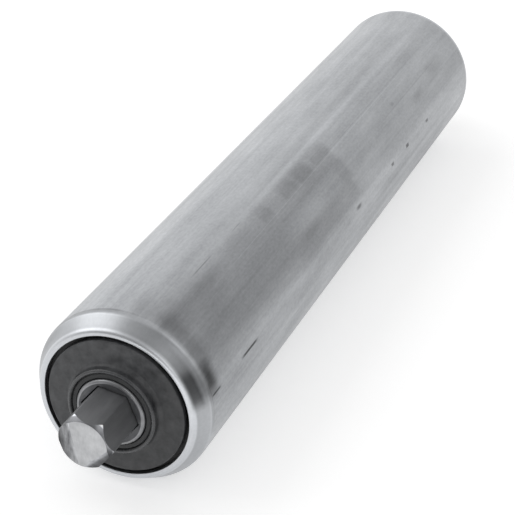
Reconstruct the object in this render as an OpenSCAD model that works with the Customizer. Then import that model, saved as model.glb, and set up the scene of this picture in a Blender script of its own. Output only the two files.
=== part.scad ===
// Gravity conveyor roller: galvanised tube, rolled-over ends, ball bearings and a spring-loaded hex axle.
// X runs along the roller, +Z is up, and the origin is the middle of the roller on its axis.
// Lengths marked "depth" run inboard from the plane of the tube's end.

/* [Tube] */
// Outside diameter of the tube
tube_od = 63.5; // [62:0.1:70]
// Wall of the tube
tube_wall = 3.05; // [2.7:0.05:3.3]
// Length of the tube over its rolled ends
tube_len = 311; // [260:1:600]
// Depth of the counterbore that seats each bearing housing, off the inside radius
seat_cut = 0.5; // [0.3:0.05:0.7]

/* [Rolled end] */
// Length of the cone that is rolled in over the housing
crimp_len = 6.2; // [5.6:0.1:6.8]
// Angle of that cone to the axis
crimp_angle = 32; // [30:0.5:34]
// Radius of the bend between the tube and the cone
bend_r = 4; // [2:0.5:6]
// Radius between the cone and the flat lip
nose_r = 1.6; // [1:0.1:2]
// Width of the lip, from the cone's edge to the opening
lip_w = 1.7; // [1.5:0.1:2]
// Radius on the edge of the opening
lip_edge_r = 0.35; // [0.2:0.05:0.5]

/* [Axle] */
// Hex axle across its flats
axle_af = 17.46; // [16:0.02:17.6]
// Turn of the hex about the axle, from a corner on +Y
axle_turn = 9.2; // [0:0.1:59]
// Length of axle that stands out of each end of the tube
axle_stub = 22.75; // [22:0.25:40]
// Radius of the flat face that the end chamfer leaves
axle_face_r = 8.55; // [7:0.05:8.6]
// Length of the end chamfer at the corners
axle_chamfer = 2.45; // [1:0.05:4]
// Distance from the axis to the dressed band on the near end
dress_at = 3.3; // [3:0.1:6]
// Slope of the dressed band
dress_angle = 7; // [3:0.5:12]
// Turn of the dressed band from the hexagon's first corner
dress_turn = -19.4; // [-40:0.1:0]
// Distance from the axis to the smaller dressed corner
nick_at = 6; // [5:0.1:7.5]
// Slope of the smaller dressed corner
nick_angle = 24; // [15:1:35]
// Turn of the smaller dressed corner from the hexagon's first corner
nick_turn = -141.6; // [-160:0.1:-125]

/* [Bearing] */
// Bore of the bearing
bearing_bore = 25; // [23:0.1:27]
// Width of each ring
bearing_w = 15; // [14.4:0.1:18]
// Diameter of a ball
ball_d = 7.94; // [6.4:0.02:8.6]
// Number of balls
ball_count = 9; // [7:1:9]
// Depth to which the balls sit in each ring, below its shoulders
race_depth = 1.67; // [1.2:0.01:2]
// Depth of the step in the outer ring that holds a shield
shield_seat = 1.6; // [1.4:0.05:1.8]
// Height of that step off the shoulder
shield_step = 0.75; // [0.6:0.05:0.9]
// Thickness of a shield's sheet
shield_t = 0.5; // [0.3:0.05:0.6]
// Gap between the ball cage and the rings' shoulders
cage_gap = 0.7; // [0.3:0.05:1]
// Thickness of the cage's back, behind its pockets
cage_back = 1.1; // [0.8:0.05:1.3]
// Reach of the cage's prongs past the ball centres
cage_front = 2.2; // [1.4:0.1:2.6]
// Thickness of each prong at the ball centres
prong_t = 1.25; // [0.9:0.05:1.6]

/* [Housing and cap] */
// Wall of the housing round the bearing
housing_t = 3.1; // [2.2:0.05:4]
// Depth from the housing's front face to the bearing
housing_nose = 5.4; // [5:0.1:7]
// Length of the housing behind the bearing
housing_skirt = 3.5; // [3:0.1:6]
// Height of the snap lip that holds the bearing
snap_h = 0.4; // [0.2:0.05:0.6]
// Number of slots that let the snap lip spring
snap_slots = 6; // [4:1:10]
// Width of each slot
snap_slot_w = 3; // [1:0.5:4]
// Radial gap between the cap's rim and the tube's lip
cap_gap = 1.45; // [1:0.05:1.8]
// Height of the cap's face past the tube's lip
cap_proud = 0.2; // [0:0.05:0.5]
// Thickness of the cap's disc
cap_t = 2.6; // [2:0.1:3]
// Step between the back of the disc and the housing's face
cap_step = 0.6; // [0.3:0.1:1]
// Radius on the rim of the cap
cap_rim_r = 0.5; // [0.2:0.1:0.9]
// Width of the cap's shoulder on the housing, inside its rim
cap_shoulder = 2.6; // [2:0.1:3]
// Length of the cap's spigot inside the housing
spigot_len = 3.8; // [2.5:0.1:4.5]
// Wall of the spigot
spigot_t = 1.6; // [1.2:0.1:2]

/* [Collar and seal] */
// Thickness of the collar's wall
collar_t = 1.5; // [1.2:0.05:1.8]
// Height of the collar over the tube's lip
collar_h = 3.7; // [3:0.1:5]
// Fillet at the foot of the collar
collar_fillet = 1.8; // [0.8:0.1:2.4]
// Radial width of the seal between the sleeve and the collar
seal_w = 1.65; // [1.2:0.05:2]
// Depth of the seal's outer face below the collar's crest
seal_drop = 0.5; // [0.3:0.1:2]
// Height of the seal's two lips
seal_lip = 0.45; // [0.2:0.05:0.6]
// Width of the cap's shoulder behind the seal
seal_ledge = 1; // [0.6:0.05:1.1]

/* [Sleeve] */
// Height of the sleeve's nose over the tube's lip
sleeve_proud = 4.27; // [3.9:0.01:6]
// Radius on the sleeve's rounded nose
sleeve_round = 1.2; // [0.6:0.1:1.6]
// Height of the sleeve's inboard flange
flange_h = 2.15; // [1.5:0.05:3]
// Thickness of that flange
flange_t = 2.45; // [2:0.05:4]
// Chamfer on the flange's edge
flange_ease = 0.4; // [0.2:0.05:0.6]

/* [Spring and stops] */
// Wire of the spring
wire_d = 2; // [1.6:0.05:2.4]
// Mean diameter of the spring
spring_d = 25.5; // [24.5:0.1:25.8]
// Length of the spring as fitted
spring_len = 62; // [56:0.5:90]
// Working turns of the spring
spring_turns = 9; // [7:1:11]
// Outside diameter of the two axle washers
washer_d = 29; // [28.5:0.5:32]
// Thickness of the two axle washers
washer_t = 2.5; // [2:0.1:4]
// Sheet of the spring's cup
cup_t = 1.2; // [0.8:0.1:1.6]
// Height of the cup's rim
cup_h = 5; // [3:0.5:8]
// Outside diameter of the two cross pins
pin_d = 4; // [3:0.1:5]
// Length of the two cross pins
pin_len = 24; // [22:0.5:28]
// Wall of the rolled cross pins
pin_wall = 0.8; // [0.6:0.05:1]

/* [Clearances] */
// Gap of a fixed fit, on each side
fit = 0.05; // [0.02:0.01:0.08]
// Gap between a ball and its races
ball_gap = 0.1; // [0.06:0.01:0.14]
// Gap between a ball and its pocket
pocket_gap = 0.15; // [0.1:0.01:0.2]
// Gap between the axle and each sleeve, on each side
axle_gap = 0.4; // [0.1:0.05:0.5]
// Running gap of the seal and the shields
run_gap = 0.25; // [0.15:0.05:0.4]

/* [Hidden] */
$fn = 96;

over = 1;                                  // how far a cutting tool runs past what it cuts
arc_steps = 8;                             // steps in a rounded form
edge_steps = 4;                            // steps in an eased edge

// Tube and rolled end
tube_r = tube_od / 2;
bore_r = tube_r - tube_wall;
seat_r = bore_r + seat_cut;
cone_foot_r = tube_r - crimp_len * tan(crimp_angle);
lip_r = cone_foot_r - lip_w;
thin_wall = tube_r - seat_r;
inner_foot_r = tube_r - thin_wall * cos(crimp_angle);
inner_foot_x = crimp_len + thin_wall * sin(crimp_angle);

// Depth at which the inside of the rolled cone has the radius r
function cone_depth(r) = inner_foot_x - (inner_foot_r - r) / tan(crimp_angle);
// Radius of the inside of the rolled cone at the depth x
function cone_radius(x) = inner_foot_r - (inner_foot_x - x) * tan(crimp_angle);

// Stack of pieces, by depth
housing_x = cap_t - cap_proud + cap_step + fit;
bearing_x = housing_x + housing_nose + fit;
bearing_end = bearing_x + bearing_w;
ball_x = bearing_x + bearing_w / 2;
housing_end = bearing_end + housing_skirt;
sleeve_end = bearing_end + fit + flange_t;

// Bearing, by radius
bearing_r = seat_r - fit - housing_t - fit;
ball_r = ball_d / 2;
race_r = ball_r + ball_gap;
pitch_r = (bearing_bore / 2 + bearing_r) / 2;
inner_land_r = pitch_r - ball_r + race_depth;
outer_land_r = pitch_r + ball_r - race_depth;
pocket_r = ball_r + pocket_gap;
ball_spacing = 2 * pitch_r * sin(180 / ball_count);

// Cap
cap_r = lip_r - cap_gap;
shoulder_r = cap_r - cap_shoulder;
sleeve_r = bearing_bore / 2 - fit;
collar_in = sleeve_r + run_gap + seal_w + fit;
collar_r = collar_in + collar_t / 2;
collar_out = collar_in + collar_t;
seal_x = -collar_h + seal_drop;
seal_end = cap_t - cap_proud;
hub_end = seal_end + cap_t;

// Axle
half_side = 30;                            // half of the angle that a side of a hexagon takes up
hex_r = axle_af / 2 / cos(half_side);
axle_half = tube_len / 2 + axle_stub;
sleeve_hex = axle_af + 2 * axle_gap;
stop_x = sleeve_end + fit;
pin_r = pin_d / 2;
cup_end = sleeve_end + fit + cup_t;
spring_x = cup_end + fit;
spring_end = spring_x + spring_len;
stop_pin_x = -tube_len / 2 + stop_x + washer_t + fit + pin_r;
spring_pin_x = tube_len / 2 - spring_end - fit - washer_t - fit - pin_r;

// Points of an arc about c, from angle a to angle b
function arc(c, r, a, b, n = arc_steps) =
    [for (i = [0 : n]) let (t = a + (b - a) * i / n) [c[0] + r * cos(t), c[1] + r * sin(t)]];

// Lays what is built along +Z along +X
module along_x() {
    rotate([0, 90, 0]) children();
}

// Revolves a [radius, depth] profile about the axis, with depth along +X
module turned() {
    along_x() rotate_extrude() children();
}

// Puts what is built by depth at the left or the right end of the roller
module left() {
    translate([-tube_len / 2, 0, 0]) children();
}

module right() {
    mirror([1, 0, 0]) left() children();
}

// Hex bar along +X from x, with the axle's turn
module hex(flats, x, length) {
    translate([x, 0, 0]) along_x() rotate(axle_turn + half_side)
        cylinder(h = length, r = flats / 2 / cos(half_side), $fn = 6);
}

// ---- tube ----

// Outline of one rolled end, from the inside seat round the lip to the outside
function tube_end() = concat(
    [[bore_r, housing_end + fit], [seat_r, housing_end + fit], [seat_r, cone_depth(seat_r)],
     [lip_r, cone_depth(lip_r)]],
    arc([lip_r + lip_edge_r, lip_edge_r], lip_edge_r, 180, 270, edge_steps),
    arc([cone_foot_r - nose_r * tan((90 - crimp_angle) / 2), nose_r], nose_r, 270, 360 - crimp_angle),
    arc([tube_r - bend_r, crimp_len + bend_r * tan(crimp_angle / 2)], bend_r, 360 - crimp_angle, 360)
);

module tube() {
    near = tube_end();
    far = [for (i = [len(near) - 1 : -1 : 0]) [near[i][0], tube_len - near[i][1]]];
    color("gainsboro") left() turned() polygon(concat(near, far));
}

// ---- axle ----

// Cuts the end face back from a distance off the axis, towards the angle turn
module dressing(at, slope, turn) {
    rotate([turn, 0, 0]) translate([-axle_half, at, 0]) rotate([0, 0, -slope])
        translate([-2 * axle_stub, 0, -axle_stub]) cube([2 * axle_stub, 2 * axle_stub, 2 * axle_stub]);
}

// Lays what is built along +Z across the axle at x, square to one of its flats
module across_axle(x) {
    translate([x, 0, 0]) rotate([axle_turn + half_side + 90, 0, 0]) children();
}

module cross_hole(x) {
    across_axle(x) cylinder(h = pin_len + 2 * over, r = pin_r + fit, center = true);
}

module axle() {
    full = axle_half - axle_chamfer;       // distance from the middle to where the hexagon is whole
    chamfered = [
        [0, -axle_half], [axle_face_r, -axle_half], [hex_r, -full], [hex_r + over, -full],
        [hex_r + over, full], [hex_r, full], [axle_face_r, axle_half], [0, axle_half]
    ];
    color("dimgray") difference() {
        intersection() {
            hex(axle_af, -axle_half, 2 * axle_half);
            turned() polygon(chamfered);
        }
        dressing(dress_at, dress_angle, axle_turn + dress_turn);
        dressing(nick_at, nick_angle, axle_turn + nick_turn);
        cross_hole(stop_pin_x);
        cross_hole(spring_pin_x);
    }
}

// Washer on the axle, from x towards +X
module axle_washer(x) {
    bevel = washer_t / 8;
    color("silver") difference() {
        translate([x, 0, 0]) turned() polygon([
            [0, 0], [washer_d / 2 - bevel, 0], [washer_d / 2, bevel], [washer_d / 2, washer_t - bevel],
            [washer_d / 2 - bevel, washer_t], [0, washer_t]
        ]);
        hex(axle_af + 4 * fit, x - over, washer_t + 2 * over);
    }
}

module stop_washer() {
    axle_washer(-tube_len / 2 + stop_x);
}

module spring_washer() {
    axle_washer(tube_len / 2 - spring_end - fit - washer_t);
}

// Rolled spring pin across the axle, open along one side
module cross_pin(x) {
    color("darkgray") across_axle(x) difference() {
        cylinder(h = pin_len, r = pin_r, center = true);
        cylinder(h = pin_len + 2 * over, r = pin_r - pin_wall, center = true);
        translate([0, -pin_wall / 2, -pin_len / 2 - over]) cube([pin_d, pin_wall, pin_len + 2 * over]);
    }
}

module stop_pin() {
    cross_pin(stop_pin_x);
}

module spring_pin() {
    cross_pin(spring_pin_x);
}

// ---- spring ----

wire_sides = 8;
turn_steps = 22;
closed_turns = 1;                          // turns that lie closed at each end
closed_pitch = wire_d * 1.06;

// Height of the wire's centre after t turns: a closed turn, the working turns, and a closed turn
function wire_rise(t) =
    let (all = spring_turns + 2 * closed_turns,
         pitch = (spring_len - 2 * closed_turns * closed_pitch) / spring_turns)
    t < closed_turns ? t * closed_pitch
    : t > all - closed_turns ? spring_len - (all - t) * closed_pitch
    : closed_turns * closed_pitch + (t - closed_turns) * pitch;

// Ring of the wire after t turns, ground flat at both ends of the spring
function wire_ring(t) = [for (k = [0 : wire_sides - 1])
    let (a = 90 + 360 * k / wire_sides,
         r = spring_d / 2 + wire_d / 2 * cos(a),
         z = wire_rise(t) + wire_d / 2 * sin(a))
    [r * cos(360 * t), r * sin(360 * t), min(max(z, 0), spring_len)]];

module coil() {
    rings = (spring_turns + 2 * closed_turns) * turn_steps;
    points = [for (i = [0 : rings]) each wire_ring(i / turn_steps)];
    sides = [for (i = [0 : rings - 1], k = [0 : wire_sides - 1])
        let (a = i * wire_sides + k, b = i * wire_sides + (k + 1) % wire_sides)
        each [[a, a + wire_sides, b], [b, a + wire_sides, b + wire_sides]]];
    first = [for (k = [1 : wire_sides - 2]) [0, k, k + 1]];
    low = wire_sides / 2;
    last = [for (k = [1 : wire_sides - 2])
        [rings * wire_sides + low, rings * wire_sides + (low + k + 1) % wire_sides,
         rings * wire_sides + (low + k) % wire_sides]];
    polyhedron(points, concat(first, sides, last));
}

module spring() {
    color("slategray") right() translate([spring_x, 0, 0]) along_x() coil();
}

// Pressed cup between the spring and the right sleeve
module spring_seat() {
    rim_r = spring_d / 2 + wire_d / 2 + 2 * run_gap;
    color("silver") right() translate([sleeve_end + fit, 0, 0]) turned() polygon(concat(
        [[hex_r + 2 * run_gap, 0]],
        arc([rim_r, cup_t], cup_t, 270, 360),
        [[rim_r + cup_t, cup_h], [rim_r, cup_h], [rim_r, cup_t], [hex_r + 2 * run_gap, cup_t]]
    ));
}

// ---- pieces of each end, by depth from the lip ----

module cap() {
    crest_x = collar_t / 2 - collar_h;
    color("#4a4b4d") turned() polygon(concat(
        [[collar_in - seal_ledge, seal_end], [collar_in, seal_end]],
        arc([collar_r, crest_x], collar_t / 2, 180, 360),
        arc([collar_out + collar_fillet, -cap_proud - collar_fillet], collar_fillet, 180, 90),
        arc([cap_r - cap_rim_r, cap_rim_r - cap_proud], cap_rim_r, 270, 360, edge_steps),
        [[cap_r, seal_end - cap_step], [cap_r - cap_step, housing_x - fit],
         [shoulder_r, housing_x - fit], [shoulder_r, housing_x + spigot_len - cap_step],
         [shoulder_r - cap_step, housing_x + spigot_len], [shoulder_r - spigot_t, housing_x + spigot_len],
         [shoulder_r - spigot_t, seal_end], [collar_out + cap_step, seal_end],
         [collar_out + cap_step, hub_end], [collar_in - seal_ledge, hub_end]]
    ));
}

module seal() {
    lip_in = sleeve_r + run_gap;
    out = collar_in - fit;
    back = seal_end - fit;
    neck = lip_in + seal_lip;
    color("#1c1c1d") turned() polygon([
        [lip_in, seal_x], [out - seal_lip, seal_x], [out, seal_x + seal_lip], [out, back],
        [lip_in, back], [lip_in, back - seal_lip], [neck, back - 2 * seal_lip],
        [neck, seal_x + 2 * seal_lip], [lip_in, seal_x + seal_lip]
    ]);
}

module housing() {
    seat = bearing_r + fit;
    out = seat_r - fit;
    slip = fit / cos(crimp_angle);
    mouth = shoulder_r + 3 * fit;
    color("#161617") difference() {
        turned() polygon([
            [mouth, housing_x], [cone_radius(housing_x) - slip, housing_x],
            [out, cone_depth(out + slip)], [out, housing_end - snap_h], [out - snap_h, housing_end],
            [seat + snap_h, housing_end], [seat - snap_h, bearing_end + housing_skirt / 2],
            [seat - snap_h, bearing_end + snap_h], [seat, bearing_end + fit],
            [seat, bearing_x - fit], [mouth, bearing_x - fit]
        ]);
        for (i = [0 : snap_slots - 1])
            rotate([360 * i / snap_slots, 0, 0])
                translate([bearing_end - housing_skirt / 2, seat - 2 * snap_h, -snap_slot_w / 2])
                    cube([2 * housing_skirt, seat_r - seat + 3 * snap_h, snap_slot_w]);
    }
}

// Square-cornered ring with eased edges, from its inner to its outer radius
module ring_blank(inner, outer) {
    ease = 0.6;
    polygon([
        [inner + ease, bearing_x], [outer - ease, bearing_x], [outer, bearing_x + ease],
        [outer, bearing_end - ease], [outer - ease, bearing_end], [inner + ease, bearing_end],
        [inner, bearing_end - ease], [inner, bearing_x + ease]
    ]);
}

module inner_ring() {
    color("silver") turned() difference() {
        ring_blank(bearing_bore / 2, inner_land_r);
        translate([pitch_r, ball_x]) circle(r = race_r);
    }
}

module outer_ring() {
    color("silver") turned() difference() {
        ring_blank(outer_land_r - over, bearing_r);
        translate([0, bearing_x - over]) square([outer_land_r, bearing_w + 2 * over]);
        for (x = [bearing_x - over, bearing_end - shield_seat])
            translate([0, x]) square([outer_land_r + shield_step, shield_seat + over]);
        translate([pitch_r, ball_x]) circle(r = race_r);
    }
}

module balls() {
    color("gainsboro") for (i = [0 : ball_count - 1])
        rotate([360 * i / ball_count, 0, 0]) translate([ball_x, pitch_r, 0]) sphere(r = ball_r, $fn = 36);
}

// Crown cage: a solid back with open pockets, each held by two prongs
module cage() {
    inner = inner_land_r + cage_gap;
    width = outer_land_r - cage_gap - inner;
    relief = ball_spacing - 2 * pocket_r - 2 * prong_t;
    color("#c8b98a") difference() {
        turned() translate([inner, ball_x - cage_front])
            square([width, cage_front + pocket_r + cage_back]);
        for (i = [0 : ball_count - 1]) {
            rotate([360 * i / ball_count, 0, 0]) translate([ball_x, pitch_r, 0])
                rotate([90, 0, 0]) sphere(r = pocket_r, $fn = 36);
            rotate([360 * (i + 0.5) / ball_count, 0, 0])
                translate([ball_x - cage_front - over, inner - over, -relief / 2])
                    cube([cage_front + cage_back + over, width + 2 * over, relief]);
        }
    }
}

// Pressed shield, with its rim and its inner edge turned towards the balls
module shield() {
    rim_r = outer_land_r + shield_step - fit;
    edge_r = inner_land_r + run_gap;
    face = bearing_x + shield_seat / 4;
    deep = bearing_x + shield_seat - fit;
    color("gray") turned() polygon([
        [edge_r, face], [rim_r, face], [rim_r, deep], [rim_r - shield_t, deep],
        [rim_r - shield_t, face + shield_t], [edge_r + shield_t, face + shield_t],
        [edge_r + shield_t, deep], [edge_r, deep]
    ]);
}

module inboard_shield() {
    translate([2 * ball_x, 0, 0]) mirror([1, 0, 0]) shield();
}

module sleeve() {
    flange_r = sleeve_r + flange_h;
    color("darkgray") difference() {
        turned() polygon(concat(
            [[0, -sleeve_proud]],
            arc([sleeve_r - sleeve_round, sleeve_round - sleeve_proud], sleeve_round, 270, 360),
            [[sleeve_r, bearing_end + fit], [flange_r, bearing_end + fit],
             [flange_r, sleeve_end - flange_ease], [flange_r - flange_ease, sleeve_end], [0, sleeve_end]]
        ));
        hex(sleeve_hex, -sleeve_proud - over, sleeve_proud + sleeve_end + 2 * over);
    }
}

tube();
axle();
stop_washer();
stop_pin();
spring();
spring_seat();
spring_washer();
spring_pin();
left() cap();  // left_cap
left() seal();  // left_seal
left() housing();  // left_housing
left() outer_ring();  // left_outer_ring
left() inner_ring();  // left_inner_ring
left() balls();  // left_balls
left() cage();  // left_cage
left() shield();  // left_outboard_shield
left() inboard_shield();  // left_inboard_shield
left() sleeve();  // left_sleeve
right() cap();  // right_cap
right() seal();  // right_seal
right() housing();  // right_housing
right() outer_ring();  // right_outer_ring
right() inner_ring();  // right_inner_ring
right() balls();  // right_balls
right() cage();  // right_cage
right() shield();  // right_outboard_shield
right() inboard_shield();  // right_inboard_shield
right() sleeve();  // right_sleeve
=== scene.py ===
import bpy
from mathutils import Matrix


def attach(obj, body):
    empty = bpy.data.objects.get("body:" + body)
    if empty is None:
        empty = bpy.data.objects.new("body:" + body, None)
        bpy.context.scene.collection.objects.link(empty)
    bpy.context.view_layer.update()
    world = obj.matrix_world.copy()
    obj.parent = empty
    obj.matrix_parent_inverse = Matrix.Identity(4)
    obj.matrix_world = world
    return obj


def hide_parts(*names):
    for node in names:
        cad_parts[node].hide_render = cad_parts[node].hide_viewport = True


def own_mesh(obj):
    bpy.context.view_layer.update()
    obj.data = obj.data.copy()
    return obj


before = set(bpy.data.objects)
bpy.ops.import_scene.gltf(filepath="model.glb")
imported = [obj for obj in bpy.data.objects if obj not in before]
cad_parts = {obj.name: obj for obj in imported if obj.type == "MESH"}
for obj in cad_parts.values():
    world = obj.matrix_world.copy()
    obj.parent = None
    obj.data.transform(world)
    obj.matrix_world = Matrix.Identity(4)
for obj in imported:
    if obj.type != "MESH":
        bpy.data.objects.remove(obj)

"""Dresses the gravity conveyor roller: galvanised tube, moulded caps, steel sleeves and a hexagonal axle.

X runs along the roller and +Z is up. Sizes are written in millimetres, and "depth" runs inboard from the
plane of the tube's end, as in the solids.
"""

import logging
import math
from collections.abc import Iterator, Sequence
from contextlib import contextmanager
from dataclasses import dataclass
from enum import Enum

import bmesh
import bpy
from bpy.types import Material, Mesh, Node, NodeSocket, NodeTree, Object
from mathutils import Vector

MM = 0.001
WELD = 0.0005 * MM
TUBE_HALF = 155.5
log = logging.getLogger("roller")

# the node types that are used most
MATH, VECTOR, JOIN, SPLIT = ("ShaderNode" + kind for kind in ("Math", "VectorMath", "CombineXYZ", "SeparateXYZ"))
MIX, RANGE, NOISE = ("ShaderNode" + kind for kind in ("Mix", "MapRange", "TexNoise"))

Point = tuple[float, float]
Triple = tuple[float, float, float]
Source = Node | NodeSocket


class End(Enum):
    """The two ends of the roller, and the sign of X at each."""

    LEFT = -1
    RIGHT = 1

    def x(self, depth: float) -> float:
        """Returns the X of a depth, in millimetres."""
        return self.value * (TUBE_HALF - depth)

    def node(self, piece: str) -> str:
        """Returns the name of the node of this end's piece."""
        return f"{self.name.lower()}_{piece}"


# ---- helpers ----


def linear(code: str) -> tuple[float, float, float, float]:
    """Turns an sRGB hex colour to linear.

    Args:
        code: The colour as #RRGGBB.

    Returns:
        Its linear red, green, blue and alpha.
    """
    parts = [int(code[i:i + 2], 16) / 255 for i in (1, 3, 5)]
    red, green, blue = (v / 12.92 if v <= 0.04045 else ((v + 0.055) / 1.055) ** 2.4 for v in parts)
    return (red, green, blue, 1.0)


def fill(node: Node, inputs: dict) -> None:
    """Gives a node's inputs their values and links.

    Args:
        node: The node.
        inputs: What each input takes, by its name or number: a value, a socket, or a node for its first output.
    """
    for key, value in inputs.items():
        value = value.outputs[0] if isinstance(value, Node) else value
        if isinstance(value, NodeSocket):
            node.id_data.links.new(value, node.inputs[key])
        else:
            node.inputs[key].default_value = value


def add(tree: NodeTree, kind: str, *inputs: object, **settings: object) -> Node:
    """Adds a node with its settings, values and links.

    Args:
        tree: The tree that takes the node.
        kind: The node's type.
        *inputs: What its inputs take, in their order, or one dictionary of that by name or number.
        **settings: The node's own settings.

    Returns:
        The new node.
    """
    node = tree.nodes.new(kind)
    for key, value in settings.items():
        setattr(node, key, value)
    fill(node, inputs[0] if inputs and isinstance(inputs[0], dict) else dict(enumerate(inputs)))
    return node


def ramped(tree: NodeTree, share: Source, stops: Sequence[Point]) -> Node:
    """Adds a ramp of grey levels.

    Args:
        tree: The tree that takes the ramp.
        share: The place along it, from 0 to 1.
        stops: Places, of which the first is 0, each with its level.

    Returns:
        The node, whose first output is the level.
    """
    ramp = add(tree, "ShaderNodeValToRGB", share)
    known = ramp.color_ramp.elements
    known.remove(known[1])
    for index, (at, level) in enumerate(stops):
        stop = known.new(at) if index else known[0]
        stop.color = (level, level, level, 1.0)
    return ramp


def arc(centre: Point, radius: float, start: float, stop: float, steps: int = 8) -> list[Point]:
    """Returns the points of an arc.

    Args:
        centre: The centre, as depth and radius from the axis.
        radius: The arc's radius.
        start: The first angle in degrees, from the direction of growing depth.
        stop: The last angle.
        steps: How many steps the arc has.

    Returns:
        Points as (depth, radius from the axis).
    """
    angles = (math.radians(start + (stop - start) * i / steps) for i in range(steps + 1))
    return [(centre[0] + radius * math.cos(a), centre[1] + radius * math.sin(a)) for a in angles]


def eased(corners: Sequence[Point], radius: float, steps: int = 3) -> list[Point]:
    """Rounds every corner of a closed outline a little, as tools and moulds do.

    Args:
        corners: The outline's corners.
        radius: How far from its corner each rounding starts.
        steps: How many steps each rounding has.

    Returns:
        The rounded outline.
    """
    out: list[Point] = []
    for before, here, after in zip([corners[-1], *corners[:-1]], corners, [*corners[1:], corners[0]]):
        ends = []
        for other in (before, after):
            reach = math.dist(here, other)
            part = min(radius, 0.45 * reach) / reach
            ends.append((here[0] + (other[0] - here[0]) * part, here[1] + (other[1] - here[1]) * part))
        for i in range(steps + 1):
            t = i / steps
            out.append(tuple((1 - t) ** 2 * a + 2 * t * (1 - t) * b + t * t * c
                             for a, b, c in zip(ends[0], here, ends[1])))
    return out


def across(turn: float) -> Vector:
    """Returns the direction away from the axis at an angle in degrees from +Y towards +Z."""
    return Vector((0.0, math.cos(math.radians(turn)), math.sin(math.radians(turn))))


@contextmanager
def edited(mesh: Mesh) -> Iterator[bmesh.types.BMesh]:
    """Opens a mesh for editing and takes over what is done to it.

    Args:
        mesh: The mesh.

    Yields:
        Its vertices, edges and faces.
    """
    work = bmesh.new()
    work.from_mesh(mesh)
    yield work
    work.to_mesh(mesh)
    work.free()


def close_up(mesh: Mesh, sharp: float = 35.0) -> None:
    """Merges a mesh's seams, points its faces outwards and shades it smooth up to an angle.

    Args:
        mesh: The mesh.
        sharp: The angle in degrees past which an edge stays sharp.
    """
    with edited(mesh) as work:
        bmesh.ops.remove_doubles(work, verts=work.verts, dist=WELD)
        bmesh.ops.dissolve_degenerate(work, edges=work.edges, dist=WELD)
        bmesh.ops.recalc_face_normals(work, faces=work.faces)
    mesh.shade_smooth()
    mesh.set_sharp_from_angle(angle=math.radians(sharp))


def linked(name: str, data: bpy.types.ID) -> Object:
    """Puts a new object into the scene.

    Args:
        name: Its name.
        data: The mesh, light or camera that it holds.

    Returns:
        The object.
    """
    thing = bpy.data.objects.new(name, data)
    bpy.context.scene.collection.objects.link(thing)
    return thing


def plain(carrier: Object) -> Mesh:
    """Turns an object with modifiers into a plain mesh.

    Args:
        carrier: The object, which is removed.

    Returns:
        The mesh.
    """
    whole = bpy.context.evaluated_depsgraph_get()
    mesh = bpy.data.meshes.new_from_object(carrier.evaluated_get(whole), depsgraph=whole)
    carrier.modifiers.clear()
    bpy.data.objects.remove(carrier)
    return mesh


def placed(name: str, mesh: Mesh, body: str, solid: str) -> Object:
    """Puts a finished mesh into the scene as a piece of the roller.

    Args:
        name: The piece's name.
        mesh: Its mesh, with its place in it.
        body: The body that it moves with.
        solid: The node of the solid that it stands for.

    Returns:
        The piece.
    """
    piece = linked(name, mesh)
    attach(piece, body)
    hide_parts(solid)
    log.info("%s: %d faces, on %s", name, len(mesh.polygons), body)
    return piece


# ---- geometry node trees ----


class Recipe:
    """A Geometry Nodes tree with named inputs, and the mesh that it makes."""

    def __init__(self, name: str, sockets: dict[str, str]) -> None:
        """Starts the tree.

        Args:
            name: The tree's name.
            sockets: The type of each input, by name.
        """
        self.tree = bpy.data.node_groups.new(name, "GeometryNodeTree")
        face = self.tree.interface
        face.new_socket("Geometry", in_out="INPUT", socket_type="NodeSocketGeometry")
        self.keys = {key: face.new_socket(key, in_out="INPUT", socket_type="NodeSocket" + kind).identifier
                     for key, kind in {**sockets, "Material": "Material"}.items()}
        face.new_socket("Geometry", in_out="OUTPUT", socket_type="NodeSocketGeometry")
        self.inputs = add(self.tree, "NodeGroupInput").outputs

    def on_axis(self, along: Source, radius: Source, angle: Source) -> Node:
        """Returns a point from its X, its radius from the axis and its angle about it."""
        parts = (add(self.tree, MATH, angle, operation=turn) for turn in ("COSINE", "SINE"))
        return add(self.tree, JOIN, along, *(add(self.tree, MATH, radius, p, operation="MULTIPLY") for p in parts))

    def end(self, geometry: Source) -> None:
        """Ends the tree with real geometry and its material.

        Args:
            geometry: What the tree has made.
        """
        real = add(self.tree, "GeometryNodeRealizeInstances", geometry)
        dressed = add(self.tree, "GeometryNodeSetMaterial", {0: real, "Material": self.inputs["Material"]})
        add(self.tree, "NodeGroupOutput", dressed)

    def make(self, name: str, values: dict[str, object], base: Mesh | None = None) -> Mesh:
        """Runs the tree and returns what it makes as a plain mesh.

        Args:
            name: The mesh's name.
            values: The value of each input, by name.
            base: The mesh that the tree starts from, if it needs one.

        Returns:
            The plain mesh.
        """
        carrier = linked(name, base or bpy.data.meshes.new(name))
        step = carrier.modifiers.new("grow", "NODES")
        step.node_group = self.tree
        for key, value in values.items():
            step[self.keys[key]] = value
        mesh = plain(carrier)
        mesh.name = name
        mesh.materials.clear()
        mesh.materials.append(values["Material"])
        for face in mesh.polygons:
            face.material_index = 0
        return mesh


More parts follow.
